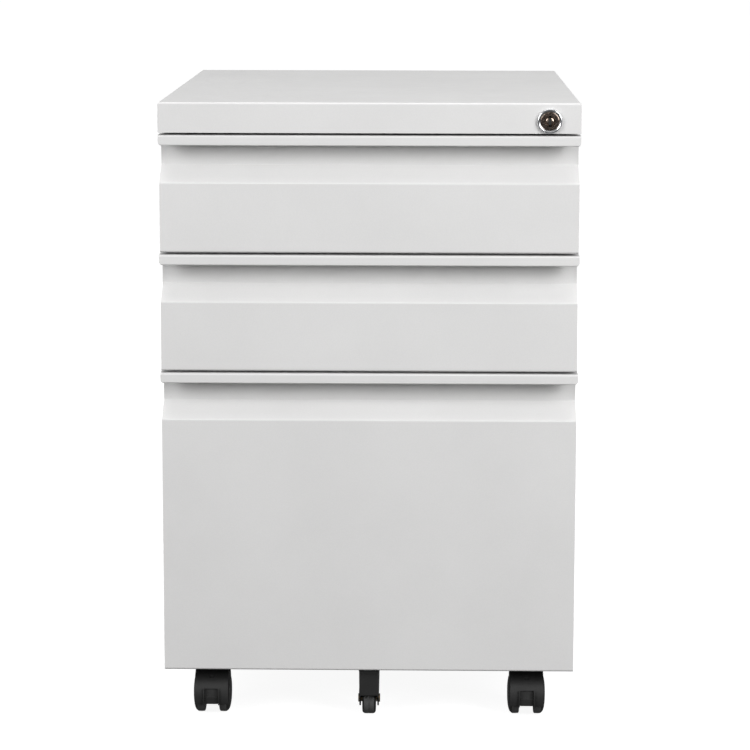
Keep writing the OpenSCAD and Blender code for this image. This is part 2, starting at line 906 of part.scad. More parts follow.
module plate_holes(z0, z1) {
    p = plate_hole_pitch / 2;
    for (x = [-p, p], y = [-p, p]) translate([x, y, z0])
        cylinder(d = screw_d + hole_play, h = z1 - z0, $fn = round_fn);
}

module caster_plates() {
    color("silver") at_casters() {
        difference() {
            translate([-plate_w / 2, -plate_w / 2, base_z - plate_t]) cube([plate_w, plate_w, plate_t]);
            plate_holes(base_z - plate_t - 1, base_z + 1);
        }
        translate([0, 0, base_z - plate_t - kingpin_len])
            cylinder(d = kingpin_d, h = kingpin_len + 1, $fn = round_fn);
    }
}

module caster_screws() {
    p = plate_hole_pitch / 2;
    color("silver") at_casters() for (x = [-p, p], y = [-p, p]) {
        translate([x, y, base_z - plate_t - screw_head_t])
            cylinder(d = screw_head_d, h = screw_head_t, $fn = round_fn);
        translate([x, y, base_z - plate_t - eps])
            cylinder(d = screw_d, h = screw_len, $fn = round_fn);
    }
}

// One caster round its swivel axis, with the axle towards the front
module housing() {
    top_z = base_z - plate_t - swivel_gap;
    side_y = -caster_trail;
    boss_z = wheel_r + sqrt(wheel_r * wheel_r - pow(caster_trail - swivel_boss_d / 2, 2)) + air;
    block_z = pin_pocket_z - pin_pocket_floor;
    color("dimgray") difference() {
        union() {
            intersection() {
                union() {
                    drill_x(2 * hood_r, -web_w / 2, web_w / 2, side_y, wheel_r);
                    difference() {
                        drill_x(2 * hood_r, -hood_w / 2, hood_w / 2, side_y, wheel_r);
                        drill_x(2 * (hood_r - hood_t), -hood_w, hood_w, side_y, wheel_r);
                    }
                }
                translate([-hood_w, side_y - hood_r - 1, hood_floor_gap])
                    cube([2 * hood_w, 2 * hood_r + 2, 2 * hood_r]);
            }
            translate([0, 0, boss_z]) cylinder(d = swivel_boss_d, h = top_z - boss_z, $fn = round_fn);
            translate([-web_w / 2, side_y, block_z])
                cube([web_w, caster_trail + web_w / 2, boss_z + boss_lap - block_z]);
        }
        translate([0, 0, pin_pocket_z])
            cylinder(d = kingpin_d + 2 * run_fit, h = kingpin_len + 10, $fn = round_fn);
        drill_x(axle_d, -hood_w, hood_w, side_y, wheel_r);
        translate([-brake_slot_w / 2, side_y - hood_r - 1, hood_floor_gap - 1])
            cube([brake_slot_w, brake_slot_d + 1, brake_slot_h + 1]);
        translate([
            -notch_w / 2,
            side_y - hood_r * cos(notch_angle) - 1,
            wheel_r + hood_r * sin(notch_angle) - notch_h
        ])
            cube([notch_w, notch_d + 1, notch_h + 4]);
    }
}

module wheel_axle() {
    end_x = wheel_gap / 2 + tread_w + dome_h - axle_end_gap;
    color("silver") drill_x(axle_d, -end_x, end_x, -caster_trail, wheel_r);
}

// A wheel whose inner face is at x = wheel_gap / 2: flat tread, domed outer face, blind bore
module caster_wheel() {
    inner = 0;
    outer = tread_w + dome_h;
    bore = axle_d / 2 + run_fit;
    bore_end = outer - axle_end_gap + air;
    dome = [for (k = [0:10])
        let (angle = 90 * k / 10)
        [dome_flat_r + (wheel_r - tread_round - dome_flat_r) * cos(angle), tread_w + dome_h * sin(angle)]];
    color("dimgray") translate([wheel_gap / 2, -caster_trail, wheel_r]) rotate([0, 90, 0])
        rotate_extrude($fn = round_fn) polygon([
            [bore, inner], [wheel_r - tread_round, inner], [wheel_r, inner + tread_round],
            [wheel_r, tread_w - tread_round], each dome, [0, outer], [0, bore_end], [bore, bore_end]
        ]);
}

module place_caster(side, y) {
    translate([side * caster_x, y, 0]) children();
}

module front_left_housing() {
    place_caster(-1, caster_ys[0]) housing();
}

module front_left_axle() {
    place_caster(-1, caster_ys[0]) wheel_axle();
}

module front_left_wheel_a() {
    place_caster(-1, caster_ys[0]) mirror([1, 0, 0]) caster_wheel();
}

module front_left_wheel_b() {
    place_caster(-1, caster_ys[0]) caster_wheel();
}

module front_right_housing() {
    place_caster(1, caster_ys[0]) housing();
}

module front_right_axle() {
    place_caster(1, caster_ys[0]) wheel_axle();
}

module front_right_wheel_a() {
    place_caster(1, caster_ys[0]) mirror([1, 0, 0]) caster_wheel();
}

module front_right_wheel_b() {
    place_caster(1, caster_ys[0]) caster_wheel();
}

module rear_left_housing() {
    place_caster(-1, caster_ys[1]) housing();
}

module rear_left_axle() {
    place_caster(-1, caster_ys[1]) wheel_axle();
}

module rear_left_wheel_a() {
    place_caster(-1, caster_ys[1]) mirror([1, 0, 0]) caster_wheel();
}

module rear_left_wheel_b() {
    place_caster(-1, caster_ys[1]) caster_wheel();
}

module rear_right_housing() {
    place_caster(1, caster_ys[1]) housing();
}

module rear_right_axle() {
    place_caster(1, caster_ys[1]) wheel_axle();
}

module rear_right_wheel_a() {
    place_caster(1, caster_ys[1]) mirror([1, 0, 0]) caster_wheel();
}

module rear_right_wheel_b() {
    place_caster(1, caster_ys[1]) caster_wheel();
}

// ---- Fifth wheel ----

module fifth_bracket() {
    top_z = front_floor_gap;
    ear_in = bracket_w / 2 - bracket_t;
    foot_y1 = tray_front_y - air;
    ear = [
        [bracket_front_y, top_z - eps], [bracket_front_y, bracket_plate_z],
        [fifth_y - ear_r, fifth_z], [fifth_y + ear_r, fifth_z],
        [fifth_y + ear_r, fifth_z + ear_r], [foot_y1, top_z - eps]
    ];
    color("dimgray") difference() {
        union() {
            mirrored() translate([ear_in, 0, 0]) rotate([90, 0, 90]) linear_extrude(bracket_t) {
                polygon(ear);
                translate([fifth_y, fifth_z]) circle(r = ear_r, $fn = round_fn);
            }
            translate([-bracket_w / 2, bracket_front_y, bracket_plate_z])
                cube([bracket_w, bracket_t, top_z - bracket_plate_z]);
            translate([-bracket_top_w / 2, bracket_front_y - bracket_nose, top_z - bracket_t])
                cube([bracket_top_w, foot_y1 - bracket_front_y + bracket_nose, bracket_t]);
        }
        drill_x(fifth_axle_d, -bracket_w, bracket_w, fifth_y, fifth_z);
    }
}

// The axle, with a head outside each ear and a collar between each ear and the wheel
module fifth_axle() {
    end_x = bracket_w / 2;
    color("darkgoldenrod") {
        drill_x(fifth_axle_d, -end_x - eps, end_x + eps, fifth_y, fifth_z);
        mirrored() drill_x(axle_head_d, end_x, end_x + axle_head_t, fifth_y, fifth_z);
        mirrored() drill_x(axle_collar_d, fifth_w / 2 + air, end_x - bracket_t, fifth_y, fifth_z);
    }
}

module fifth_wheel() {
    w = fifth_w / 2;
    bore = fifth_axle_d / 2 + run_fit;
    edge = 1.5;
    color("dimgray") translate([0, fifth_y, fifth_z]) rotate([0, 90, 0])
        rotate_extrude($fn = round_fn) polygon([
            [bore, -w], [fifth_r - edge, -w], [fifth_r, -w + edge],
            [fifth_r, w - edge], [fifth_r - edge, w], [bore, w]
        ]);
}

top_cover();
left_side_panel();
right_side_panel();
back_panel();
base_pan();
top_front_rail();
slide_uprights();
back_screws();
front_bumpers();
caster_plates();
caster_screws();
lock_housing();
lock_nut();
lock_bar_guides();
lock_plug();
lock_cam();
lock_cam_screw();
lock_bar();
box_slide_outers();
file_slide_outers();
file_slide_middles();
top_ball_cages();
middle_ball_cages();
file_outer_cages();
file_inner_cages();
top_drawer_front();
top_inner_front();
top_tray();
top_drawer_back();
top_slide_inners();
middle_drawer_front();
middle_inner_front();
middle_tray();
middle_drawer_back();
middle_slide_inners();
file_drawer_front();
file_inner_front();
file_tray();
file_drawer_back();
file_slide_inners();
hanging_rails();
fifth_bracket();
fifth_axle();
fifth_wheel();
front_left_housing();
front_left_axle();
front_left_wheel_a();
front_left_wheel_b();
front_right_housing();
front_right_axle();
front_right_wheel_a();
front_right_wheel_b();
rear_left_housing();
rear_left_axle();
rear_left_wheel_a();
rear_left_wheel_b();
rear_right_housing();
rear_right_axle();
rear_right_wheel_a();
rear_right_wheel_b();
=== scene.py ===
"""Looks of the three-drawer steel pedestal on casters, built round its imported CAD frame. Metres."""

import math

import bmesh
import bpy
from mathutils import Matrix, Vector


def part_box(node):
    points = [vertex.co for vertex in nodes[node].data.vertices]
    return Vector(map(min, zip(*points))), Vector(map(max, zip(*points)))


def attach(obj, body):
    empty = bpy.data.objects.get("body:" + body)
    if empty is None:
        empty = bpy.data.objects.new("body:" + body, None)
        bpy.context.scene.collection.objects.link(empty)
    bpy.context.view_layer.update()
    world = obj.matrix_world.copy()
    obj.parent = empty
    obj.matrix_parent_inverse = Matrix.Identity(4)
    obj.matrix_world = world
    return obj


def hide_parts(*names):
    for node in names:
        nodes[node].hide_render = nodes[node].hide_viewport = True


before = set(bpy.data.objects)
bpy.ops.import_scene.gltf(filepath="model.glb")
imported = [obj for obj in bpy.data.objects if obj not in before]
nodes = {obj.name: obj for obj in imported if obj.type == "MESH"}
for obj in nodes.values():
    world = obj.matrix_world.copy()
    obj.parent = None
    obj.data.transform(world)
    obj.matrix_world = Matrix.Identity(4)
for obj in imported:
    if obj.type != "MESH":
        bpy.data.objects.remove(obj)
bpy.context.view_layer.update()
MM = 0.001
NOISE_ROUGHNESS = 0.55


# ---- Node graphs for the materials ----

class Graph:
    """A material's node graph round one Principled shader, with patterns in object coordinates."""

    def __init__(self, name, colour, roughness, metallic=0.0, **sockets):
        self.material = bpy.data.materials.new(name)
        self.material.use_nodes = True
        self.tree = self.material.node_tree
        self.tree.nodes.clear()
        self.shader = self.node("ShaderNodeBsdfPrincipled")
        output = self.node("ShaderNodeOutputMaterial")
        self.link(self.shader.outputs["BSDF"], output.inputs["Surface"])
        self.shader.inputs["Base Color"].default_value = (*colour, 1)
        self.shader.inputs["Roughness"].default_value = roughness
        self.shader.inputs["Metallic"].default_value = metallic
        for socket, value in sockets.items():
            self.shader.inputs[socket.replace("_", " ")].default_value = value
        self.place = self.node("ShaderNodeTexCoord").outputs["Object"]
        self.height = None

    def node(self, kind, **props):
        made = self.tree.nodes.new(kind)
        for prop, value in props.items():
            setattr(made, prop, value)
        return made

    def link(self, start, end):
        self.tree.links.new(start, end)

    def noise(self, feature, detail=3.0, stretch=(1, 1, 1)):
        """Noise whose features are about that many metres across, stretched along each axis."""
        mapping = self.node("ShaderNodeMapping")
        mapping.inputs["Scale"].default_value = [1 / s for s in stretch]
        self.link(self.place, mapping.inputs["Vector"])
        noise = self.node("ShaderNodeTexNoise")
        noise.inputs["Scale"].default_value = 1 / feature
        noise.inputs["Detail"].default_value = detail
        noise.inputs["Roughness"].default_value = NOISE_ROUGHNESS
        self.link(mapping.outputs["Vector"], noise.inputs["Vector"])
        return noise.outputs["Fac"]

    def cells(self, feature):
        """Distance to the nearest of many points about that far apart."""
        voronoi = self.node("ShaderNodeTexVoronoi")
        voronoi.inputs["Scale"].default_value = 1 / feature
        self.link(self.place, voronoi.inputs["Vector"])
        return voronoi.outputs["Distance"]

    def along_x(self):
        """How far the surface faces left or right: 0 square to X, 1 straight along it."""
        axes = self.node("ShaderNodeSeparateXYZ")
        self.link(self.node("ShaderNodeTexCoord").outputs["Normal"], axes.inputs["Vector"])
        size = self.node("ShaderNodeMath", operation="ABSOLUTE")
        self.link(axes.outputs["X"], size.inputs[0])
        return size.outputs["Value"]

    def span(self, value, low, high, start=0.3, stop=0.7):
        """value's stretch from start to stop spread over low to high."""
        spread = self.node("ShaderNodeMapRange")
        for socket, number in (("From Min", start), ("From Max", stop), ("To Min", low), ("To Max", high)):
            spread.inputs[socket].default_value = number
        self.link(value, spread.inputs["Value"])
        return spread.outputs["Result"]

    def tint(self, value, low, high, start=0.3, stop=0.7):
        """Colours the surface from low to high by value, over what has coloured it before."""
        ramp = self.node("ShaderNodeValToRGB")
        ramp.color_ramp.elements[0].position = start
        ramp.color_ramp.elements[1].position = stop
        ramp.color_ramp.elements[0].color = (*low, 1)
        ramp.color_ramp.elements[1].color = (*high, 1)
        self.link(value, ramp.inputs["Fac"])
        target = self.shader.inputs["Base Color"]
        if not target.is_linked:
            self.link(ramp.outputs["Color"], target)
            return
        mix = self.node("ShaderNodeMix", data_type="RGBA", blend_type="MULTIPLY")
        mix.inputs["Factor"].default_value = 1
        self.link(target.links[0].from_socket, mix.inputs["A"])
        self.link(ramp.outputs["Color"], mix.inputs["B"])
        self.link(mix.outputs["Result"], target)

    def gloss(self, value, low, high):
        """Roughness from low to high by value."""
        self.link(self.span(value, low, high), self.shader.inputs["Roughness"])

    def relief(self, value, height):
        """Adds bumps of that height in metres, on top of the earlier ones."""
        bump = self.node("ShaderNodeBump")
        bump.inputs["Distance"].default_value = height
        bump.inputs["Strength"].default_value = 1
        self.link(value, bump.inputs["Height"])
        if self.height is not None:
            self.link(self.height, bump.inputs["Normal"])
        self.height = bump.outputs["Normal"]
        self.link(self.height, self.shader.inputs["Normal"])


def grey(value, warmth=0.0):
    """A grey, a little warmer above zero."""
    return (value * (1 + warmth), value, value * (1 - warmth))


def powder_coat(name, colour, roughness, peel, spread=0.02, specular=0.5):
    """Baked powder paint: an orange-peel skin with fine grit, faintly uneven in tone and gloss."""
    coat = Graph(name, colour, roughness, Specular_IOR_Level=specular)
    dim = tuple(c * (1 - spread) for c in colour)
    bright = tuple(min(1, c * (1 + spread)) for c in colour)
    coat.tint(coat.noise(90 * MM, 4), dim, bright)
    coat.tint(coat.noise(1.1 * MM, 2), grey(0.975), grey(1.0), 0.35, 0.65)
    coat.gloss(coat.noise(14 * MM, 4), roughness - 0.05, roughness + 0.07)
    coat.relief(coat.noise(1.6 * MM, 2), peel)
    coat.relief(coat.noise(0.35 * MM, 2), peel * 0.25)
    return coat.material


def plated_steel(name, colour, roughness, grain=(1, 30, 1)):
    """Rolled and zinc-plated sheet: drawn streaks along its length, soft cloudy spangle."""
    steel = Graph(name, colour, roughness, 1.0)
    dim = tuple(c * 0.86 for c in colour)
    steel.tint(steel.noise(12 * MM, 3), dim, colour)
    steel.tint(steel.noise(0.5 * MM, 3, grain), grey(0.9), grey(1.0), 0.35, 0.6)
    steel.gloss(steel.noise(0.8 * MM, 4, grain), roughness - 0.08, roughness + 0.12)
    steel.relief(steel.noise(0.4 * MM, 3, grain), 0.012 * MM)
    return steel.material


def polished(name, colour, roughness, smudge=0.08):
    """Plated and buffed metal with faint wipe marks."""
    metal = Graph(name, colour, roughness, 1.0)
    metal.tint(metal.noise(3 * MM, 4), tuple(c * 0.93 for c in colour), colour)
    metal.gloss(metal.noise(1.5 * MM, 5), roughness, roughness + smudge)
    metal.relief(metal.noise(0.3 * MM, 2), 0.003 * MM)
    return metal.material


def bronze(name):
    """Cast lock core in a dark bronze tone, rubbed brighter in patches by the key."""
    metal = Graph(name, (0.25, 0.195, 0.16), 0.22, 1.0)
    metal.tint(metal.noise(2.2 * MM, 4), (0.13, 0.098, 0.08), (0.4, 0.325, 0.275))
    metal.tint(metal.noise(0.35 * MM, 3), grey(0.8), grey(1.0), 0.35, 0.6)
    metal.gloss(metal.noise(0.8 * MM, 4), 0.14, 0.3)
    metal.relief(metal.noise(0.5 * MM, 3), 0.02 * MM)
    return metal.material


def moulded(name, colour, roughness, grain, height, scuff=0.004, specular=0.35, tread=None):
    """Moulded plastic with a fine spark-eroded grain and greyer worn patches; a wheel's tread is a paler grey,
    partly its own colour and partly painted light for the floor's bounce.
    """
    plastic = Graph(name, colour, roughness, Specular_IOR_Level=specular)
    # Faces square to X take the tread grey: the tread's own paler grey, raised further as painted light
    # standing in for light bounced up from the floor.
    if tread:
        plastic.tint(plastic.along_x(), tread, colour, 0.3, 0.6)
        colour = grey(0.8)
        scuff = 0.2
    pale = tuple(c + scuff for c in colour)
    plastic.tint(plastic.noise(9 * MM, 5), colour, pale, 0.4, 0.75)
    plastic.tint(plastic.noise(grain * 2, 2), grey(0.85), grey(1.0), 0.35, 0.65)
    plastic.gloss(plastic.noise(5 * MM, 4), roughness - 0.06, roughness + 0.1)
    plastic.relief(plastic.cells(grain), height)
    return plastic.material


materials = {
    "white_powder_coat": powder_coat("fine_white_powder_coat", grey(0.70, 0.004), 0.42, 0.014 * MM),
    "zinc_steel": plated_steel("rolled_zinc_steel", (0.60, 0.61, 0.62), 0.34),
    "black_steel": powder_coat("black_powder_coat", grey(0.022), 0.34, 0.02 * MM, 0.15, 0.5),
    "brass_cage": plated_steel("pressed_brass_cage", (0.62, 0.47, 0.22), 0.30),
    "lock_chrome": polished("buffed_chrome", (0.76, 0.77, 0.79), 0.12),
    "lock_bronze": bronze("dark_bronze"),
    "axle_brass": polished("dull_yellow_plate", (0.26, 0.19, 0.1), 0.35, 0.15),
    "axle_steel": plated_steel("turned_axle_steel", (0.55, 0.56, 0.58), 0.28, (1, 1, 1)),
    "black_plastic": moulded("grained_black_plastic", grey(0.021), 0.5, 0.5 * MM, 0.02 * MM),
    # The tread grey here is partly the tread's own colour and partly painted light for the floor's missing
    # bounce.
    "black_tread": moulded("black_tread", grey(0.009), 0.4, 0.8 * MM, 0.01 * MM, tread=grey(0.10)),
    "bumper_rubber": moulded("bumper_rubber", grey(0.05), 0.7, 0.3 * MM, 0.02 * MM, 0.02),
}

for node in nodes.values():
    for holder in node.material_slots:
        holder.material = materials[holder.material.name]


# ---- Edges of the sheet parts ----

def smooth_group():
    """A modifier group that shades a whole mesh smooth; weighted normals then keep its flats flat."""
    group = bpy.data.node_groups.new("smooth_shading", "GeometryNodeTree")
    for direction in ("INPUT", "OUTPUT"):
        group.interface.new_socket("Geometry", in_out=direction, socket_type="NodeSocketGeometry")
    start = group.nodes.new("NodeGroupInput").outputs[0]
    for domain in ("EDGE", "FACE"):
        smooth = group.nodes.new("GeometryNodeSetShadeSmooth")
        smooth.domain = domain
        group.links.new(start, smooth.inputs["Geometry"])
        start = smooth.outputs["Geometry"]
    group.links.new(start, group.nodes.new("NodeGroupOutput").inputs[0])
    return group


SMOOTH = smooth_group()


def soften(obj, width, segments=2, angle=30):
    """Breaks the sharp edges of a CAD part by that width, and shades it smooth between them."""
    weld = obj.modifiers.new("weld", "WELD")
    weld.merge_threshold = 0.005 * MM
    flat = obj.modifiers.new("flat_faces", "DECIMATE")
    flat.decimate_type = "DISSOLVE"
    flat.angle_limit = math.radians(0.5)
    bevel = obj.modifiers.new("edge_break", "BEVEL")
    bevel.width = width
    bevel.segments = segments
    bevel.limit_method = "ANGLE"
    bevel.angle_limit = math.radians(angle)
    shade = obj.modifiers.new("smooth", "NODES")
    shade.node_group = SMOOTH
    obj.modifiers.new("weighted_normals", "WEIGHTED_NORMAL").keep_sharp = True


SHEET_PARTS = ["top_cover", "left_side_panel", "right_side_panel", "back_panel", "base_pan", "top_front_rail"]
for drawer in ("top", "middle", "file"):
    SHEET_PARTS += [f"{drawer}_{part}" for part in ("drawer_front", "inner_front", "tray", "drawer_back")]
for part in SHEET_PARTS:
    soften(nodes[part], 0.22 * MM)


# ---- Mesh tools for the detailed pieces ----

AXIS = 0.001  # the radius at which a turned solid closes on its axis, in millimetres


def lathe(bm, profile, place, steps=64):
    """Turns a closed profile of (radius, height) in millimetres round local Z, then sets it in place."""
    rings = []
    for radius, height in profile:
        turn = [2 * math.pi * k / steps for k in range(steps)]
        rings.append([bm.verts.new(place @ Vector((radius * math.cos(t), radius * math.sin(t), height)))
                      for t in turn])
    for i, first in enumerate(rings):
        second = rings[(i + 1) % len(rings)]
        for k in range(steps):
            after = (k + 1) % steps
            bm.faces.new((first[k], first[after], second[after], second[k]))


def prism(bm, outline, start, stop, place, lean=None):
    """A closed prism: an outline of (y, z) in millimetres drawn along local X from start to stop."""
    ends = []
    for x in (start, stop):
        points = [Vector((x, y, z)) for y, z in outline]
        ends.append([bm.verts.new(place @ (lean(p) if lean else p)) for p in points])
    bm.faces.new(ends[0])
    bm.faces.new(reversed(ends[1]))
    for k in range(len(outline)):
        after = (k + 1) % len(outline)
        bm.faces.new((ends[0][after], ends[0][k], ends[1][k], ends[1][after]))


def arc(centre, radius, start, stop, steps=8):
    """Points of an arc in millimetres, with its angles in degrees."""
    angles = [math.radians(start + (stop - start) * k / steps) for k in range(steps + 1)]
    return [(centre[0] + radius * math.cos(t), centre[1] + radius * math.sin(t)) for t in angles]


def new_piece(name, bm, material):
    """An object of the closed shells in bm, shaded smooth except across its sharp edges."""
    bmesh.ops.recalc_face_normals(bm, faces=bm.faces)
    mesh = bpy.data.meshes.new(name)
    bm.to_mesh(mesh)
    bm.free()
    mesh.materials.append(materials[material])
    shade_by_angle(mesh)
    piece = bpy.data.objects.new(name, mesh)
    bpy.context.scene.collection.objects.link(piece)
    return piece


def shade_by_angle(mesh, degrees=35):
    """Smooth shading, with edges sharper than that many degrees kept crisp."""
    mesh.polygons.foreach_set("use_smooth", [True] * len(mesh.polygons))
    mesh.set_sharp_from_angle(angle=math.radians(degrees))


def node_copy(node):
    """A bmesh of a CAD node's shape, with its faces' shared corners joined."""
    bm = bmesh.new()
    bm.from_mesh(nodes[node].data)
    bmesh.ops.remove_doubles(bm, verts=bm.verts, dist=0.003 * MM)
    bmesh.ops.dissolve_limit(bm, angle_limit=math.radians(0.3), verts=bm.verts, edges=bm.edges)
    return bm


def carve(piece, cutters, operation="DIFFERENCE"):
    """Cuts the cutters out of a piece, or adds them to it, and removes them."""
    for cutter in cutters:
        change = piece.modifiers.new("carve", "BOOLEAN")
        change.operation = operation
        change.solver = "EXACT"
        change.object = cutter
    settle(piece)
    for cutter in cutters:
        bpy.data.objects.remove(cutter)


def settle(piece):
    """Puts the piece's modifiers into its mesh."""
    graph = bpy.context.evaluated_depsgraph_get()
    mesh = bpy.data.meshes.new_from_object(piece.evaluated_get(graph))
    piece.modifiers.clear()
    piece.data = mesh
    shade_by_angle(mesh)


def break_edges(piece, width, segments=2, degrees=35):
    """Rounds a piece's own sharp edges by that width."""
    bevel = piece.modifiers.new("edge_break", "BEVEL")
    bevel.width = width
    bevel.segments = segments
    bevel.limit_method = "ANGLE"
    bevel.angle_limit = math.radians(degrees)
    piece.modifiers.new("weighted_normals", "WEIGHTED_NORMAL")


def stands_for(piece, body, slot, *replaced):
    """The piece moves with that body, in place of the CAD nodes named; slot is not used."""
    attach(piece, body)
    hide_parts(*replaced)


def middle_of(node):
    """The middle of a CAD node's box."""
    low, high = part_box(node)
    return (low + high) / 2


TO_REAR = Matrix.Rotation(math.radians(-90), 4, "X")
TO_RIGHT = Matrix.Rotation(math.radians(90), 4, "Y")
TO_LEFT = Matrix.Rotation(math.radians(-90), 4, "Y")


def set_at(point, turn=Matrix.Identity(4)):
    """Millimetres round a point of the frame, turned."""
    return Matrix.Translation(point) @ Matrix.Scale(MM, 4) @ turn


# ---- Lock ----

def make_lock():
    """A plated bezel with a rolled rim and a threaded barrel, round a dished core whose keyway holds a black
    insert as painted shade for the slot's depth.
    """
    middle = middle_of("lock_housing")
    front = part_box("top_cover")[0].y
    place = set_at((middle.x, front, middle.z), TO_REAR)
    bore, seat, barrel, length, pitch = 6.55, 8.85, 9.4, 22.0, 1.0
    nose, nose_drop, nose_inset, proud = 4.1, 1.5, 0.04, 0.3
    rim = arc((10.3, -1.8), 1.2, 0, -90, 6)
    thread = []
    for k in range(int((length - 2) / pitch)):
        thread += [(barrel, 1 + k * pitch), (barrel - 0.45, 1 + (k + 0.5) * pitch)]
    bm = bmesh.new()
    lathe(bm, [(bore, -0.5), (seat, -0.5), (seat, -1.9), (9.05, -2.1), (10.0, -2.95), *reversed(rim),
               (11.5, -0.35), (11.3, 0), (barrel, 0), *thread, (barrel, length - 0.7),
               (barrel - 0.6, length), (bore, length)], place)
    bezel = new_piece("lock_bezel", bm, "lock_chrome")
    stands_for(bezel, "cabinet", "lock_chrome", "lock_housing")

    core = new_piece("lock_core", node_copy("lock_plug"), "lock_bronze")
    face = (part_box("lock_plug")[0].y - front) / MM
    bm = bmesh.new()
    turns = [math.pi / 2 * k / 10 * 0.86 for k in range(1, 11)]
    dome = [(nose * math.sin(t), face + nose_inset + nose_drop * (1 - math.cos(t))) for t in turns]
    dish = [(AXIS, face + nose_inset), *dome, (4.35, face + 1.35), (5.2, face - proud), (AXIS, face - proud)]
    lathe(bm, dish, place)
    lathe(bm, [(7.3, face - proud), (9.3, face - proud), (9.3, face + 0.9)], place)
    lathe(bm, [(5.6, face - proud), (6.3, face - proud), (6.1, face + 0.25), (5.8, face + 0.25)], place)
    carve(core, [new_piece("dish_cutter", bm, "lock_bronze")])
    break_edges(core, 0.12 * MM)
    stands_for(core, "lock", "lock_bronze", "lock_plug")

    # A black insert just inside the keyway: a dark sheet as painted shade, standing in for the shadowed depth
    # of the slot.
    half_w, half_h, near, far = 0.98, 3.3, face + 0.35, face + 2.5
    bm = bmesh.new()
    prism(bm, [(near, -half_h), (far, -half_h), (far, half_h), (near, half_h)],
          -half_w, half_w, set_at((middle.x, front, middle.z)))
    keyway_shade_insert = new_piece("lock_keyway_shade_insert", bm, "black_plastic")
    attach(keyway_shade_insert, "lock")


make_lock()


# ---- Casters ----

WHEEL_STEPS = 72


def make_hood(caster):
    """The caster's moulded hood: edges rounded, with a kinked tongue and two ribs in its front slot."""
    hub = middle_of(f"{caster}_axle")
    low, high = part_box(f"{caster}_housing")
    radius = (high.y - low.y) / 2 / MM
    place = set_at(hub)
    tongue_half, rib_x, rib_half, rib_top, rib_foot = 6.2, 7.1, 0.45, 180 - 20.5, 180 + 17.5
    hood = new_piece(f"{caster}_hood", node_copy(f"{caster}_housing"), "black_plastic")
    bm = bmesh.new()
    prism(bm, [(-19.0, 7.4), (-20.8, 7.4), (-21.9, 0.8), (-23.3, -0.4), (-22.7, -7.0), (-19.0, -7.0)],
          -tongue_half, tongue_half, place)
    tongue = new_piece("tongue", bm, "black_plastic")
    bm = bmesh.new()
    for side in (-1, 1):
        outer = arc((0, 0), radius + 0.45, rib_top, rib_foot)
        inner = arc((0, 0), radius - 0.8, rib_foot, rib_top)
        prism(bm, outer + inner, side * rib_x - rib_half, side * rib_x + rib_half, place)
    ribs = new_piece("ribs", bm, "black_plastic")
    carve(hood, [tongue, ribs], "UNION")
    break_edges(hood, 0.3 * MM)
    stands_for(hood, f"{caster}_caster", "black_plastic", f"{caster}_housing")


def make_caster_wheel(caster, letter):
    """A moulded wheel: crowned tread, stepped dome with a hub disc outside, a dished web inside."""
    node = f"{caster}_wheel_{letter}"
    low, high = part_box(node)
    middle = (low + high) / 2
    inner_x, turn = (high.x, TO_LEFT) if letter == "a" else (low.x, TO_RIGHT)
    place = set_at((inner_x, middle.y, middle.z), turn)
    radius = (high.z - low.z) / 2 / MM
    tread, depth, bore, bore_end = 7.5, (high.x - low.x) / MM, 3.05, 8.7

    def crown(r):
        """The dome's height at that radius: flat to 5 mm, then an ellipse down to the tread."""
        return tread + (depth - tread) * math.sqrt(1 - ((r - 5) / (radius - 6.2)) ** 2)

    dome = [(r, crown(r)) for r in (18.6, 18.2, 17.6, 16.8, 15.8, 14.6)]
    cap = [(r, crown(r)) for r in (13.9, 12, 10, 8)]
    groove = dome[-1][1] - 0.45
    bm = bmesh.new()
    lathe(bm, [(bore, bore_end), (bore, 0), (6.4, 0), (6.8, 0.6), (14.6, 0.6), (15.2, 0), (radius - 1.3, 0),
               (radius - 0.45, 0.35), (radius - 0.08, 1.3), (radius, tread / 2), (radius - 0.08, tread - 1.2),
               (radius - 0.6, tread - 0.3), *dome, (14.4, groove), (14.1, groove),
               *cap, (5.2, depth), (AXIS, depth), (AXIS, bore_end)], place, WHEEL_STEPS)
    wheel = new_piece(f"{caster}_wheel_{letter}_moulding", bm, "black_tread")
    stands_for(wheel, node, "black_tread", node)


for end in ("front", "rear"):
    for side in ("left", "right"):
        make_hood(f"{end}_{side}")
        for letter in ("a", "b"):
            make_caster_wheel(f"{end}_{side}", letter)


# ---- Anti-tip wheel ----

